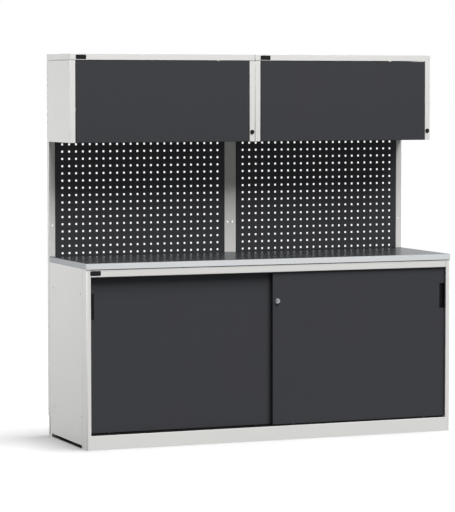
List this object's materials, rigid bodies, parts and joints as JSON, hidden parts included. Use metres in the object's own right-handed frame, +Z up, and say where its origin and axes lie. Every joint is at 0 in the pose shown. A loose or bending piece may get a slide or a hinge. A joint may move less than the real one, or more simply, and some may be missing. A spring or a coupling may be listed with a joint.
{
  "type": "workbench cabinet",
  "caption": "Steel workbench cabinet: sliding-door base, steel-clad worktop, perforated tool wall on slotted uprights, and overhead cabinets with lockable flap doors",
  "frame": {"origin": "on the floor, under the middle of the whole bench's length and depth", "axes": "+X along the bench to the right seen from the front, +Y to the back, +Z up"},
  "size_m": [2.04, 0.63, 2],
  "materials": {
    "light_coat": "satin powder coat, light grey",
    "dark_coat": "satin powder coat, anthracite grey",
    "zinc_steel": "zinc plated, dull",
    "nylon": "natural nylon",
    "rubber": "matt black",
    "chipboard": "raw chipboard",
    "worktop_steel": "bright, finely brushed sheet",
    "chrome": "polished",
    "black_plastic": "glossy black"
  },
  "bodies": {
    "bench": {"base_back": "light_coat", "base_floor": "light_coat", "base_side_left": "light_coat", "base_side_right": "light_coat", "centre_partition": "light_coat", "corner_post_left": "light_coat", "corner_post_right": "light_coat", "door_buffers": "rubber", "flap_lock_cases": "black_plastic", "front_plinth": "light_coat", "front_rail": "light_coat", "left_cabinet_back": "light_coat", "left_cabinet_floor": "light_coat", "left_cabinet_lid": "light_coat", "left_cabinet_side_left": "light_coat", "left_cabinet_side_right": "light_coat", "lower_door_track": "black_plastic", "rear_plinth": "light_coat", "right_cabinet_back": "light_coat", "right_cabinet_floor": "light_coat", "right_cabinet_lid": "light_coat", "right_cabinet_side_left": "light_coat", "right_cabinet_side_right": "light_coat", "shelf_clips": "light_coat", "shelf_left": "light_coat", "shelf_right": "light_coat", "side_feet_left": "light_coat", "side_feet_right": "light_coat", "tool_panel_left": "dark_coat", "tool_panel_right": "dark_coat", "upper_door_track": "zinc_steel", "upright_centre": "light_coat", "upright_left": "light_coat", "upright_right": "light_coat", "worktop_board": "chipboard", "worktop_cover": "worktop_steel"},
    "left_door": {"sliding_door_left": "dark_coat", "door_pull_left": "black_plastic", "top_guides_left": "nylon", "roller_brackets_left": "zinc_steel", "lock_keeper": "zinc_steel"},
    "right_door": {"sliding_door_right": "dark_coat", "door_pull_right": "black_plastic", "top_guides_right": "nylon", "roller_brackets_right": "zinc_steel", "lock_case": "chrome"},
    "left_door_roller_left": {"left_door_roller_left": "nylon"},
    "left_door_roller_right": {"left_door_roller_right": "nylon"},
    "right_door_roller_left": {"right_door_roller_left": "nylon"},
    "right_door_roller_right": {"right_door_roller_right": "nylon"},
    "lock_plunger": {"lock_plunger": "chrome"},
    "lock_key_barrel": {"lock_key_barrel": "chrome"},
    "flap_left": {"flap_door_left": "dark_coat", "flap_pivots_left": "zinc_steel"},
    "flap_right": {"flap_door_right": "dark_coat", "flap_pivots_right": "zinc_steel"},
    "flap_lock_barrel_left": {"flap_lock_barrel_left": "black_plastic"},
    "flap_lock_barrel_right": {"flap_lock_barrel_right": "black_plastic"}
  },
  "joints": [
    {"name": "left_door_slide", "type": "slide", "parent": "bench", "child": "left_door", "axis": [1, 0, 0], "range_m": [0, 0.955]},
    {"name": "right_door_slide", "type": "slide", "parent": "bench", "child": "right_door", "axis": [-1, 0, 0], "range_m": [0, 1.003]},
    {"name": "left_door_roller_left_spin", "type": "hinge", "parent": "left_door", "child": "left_door_roller_left", "pos_m": [-0.88, -0.257, 0.0866], "axis": [0, 1, 0], "continuous": true},
    {"name": "left_door_roller_right_spin", "type": "hinge", "parent": "left_door", "child": "left_door_roller_right", "pos_m": [-0.075, -0.257, 0.0866], "axis": [0, 1, 0], "continuous": true},
    {"name": "right_door_roller_left_spin", "type": "hinge", "parent": "right_door", "child": "right_door_roller_left", "pos_m": [0.123, -0.287, 0.0866], "axis": [0, -1, 0], "continuous": true},
    {"name": "right_door_roller_right_spin", "type": "hinge", "parent": "right_door", "child": "right_door_roller_right", "pos_m": [0.88, -0.287, 0.0866], "axis": [0, -1, 0], "continuous": true},
    {"name": "lock_push", "type": "slide", "parent": "right_door", "child": "lock_plunger", "axis": [0, 1, 0], "range_m": [0, 0.01], "stiffness_N_per_m": 250, "springref_m": -0.006},
    {"name": "lock_key_turn", "type": "hinge", "parent": "lock_plunger", "child": "lock_key_barrel", "pos_m": [0.028, -0.313, 0.724], "axis": [0, -1, 0], "range_deg": [0, 90]},
    {"name": "flap_left_hinge", "type": "hinge", "parent": "bench", "child": "flap_left", "pos_m": [-0.51025, -0.052, 1.953], "axis": [-1, 0, 0], "range_deg": [0, 90]},
    {"name": "flap_left_lock_turn", "type": "hinge", "parent": "bench", "child": "flap_lock_barrel_left", "pos_m": [-0.0165, -0.063, 1.595], "axis": [0, -1, 0], "range_deg": [0, 90]},
    {"name": "flap_right_hinge", "type": "hinge", "parent": "bench", "child": "flap_right", "pos_m": [0.51025, -0.052, 1.953], "axis": [-1, 0, 0], "range_deg": [0, 90]},
    {"name": "flap_right_lock_turn", "type": "hinge", "parent": "bench", "child": "flap_lock_barrel_right", "pos_m": [1.004, -0.063, 1.595], "axis": [0, -1, 0], "range_deg": [0, 90]}
  ],
  "couplings": [
    {"joint": "left_door_roller_left_spin", "follows": "left_door_slide", "rad_per_m": 83.333},
    {"joint": "left_door_roller_right_spin", "follows": "left_door_slide", "rad_per_m": 83.333},
    {"joint": "right_door_roller_left_spin", "follows": "right_door_slide", "rad_per_m": 83.333},
    {"joint": "right_door_roller_right_spin", "follows": "right_door_slide", "rad_per_m": 83.333}
  ]
}
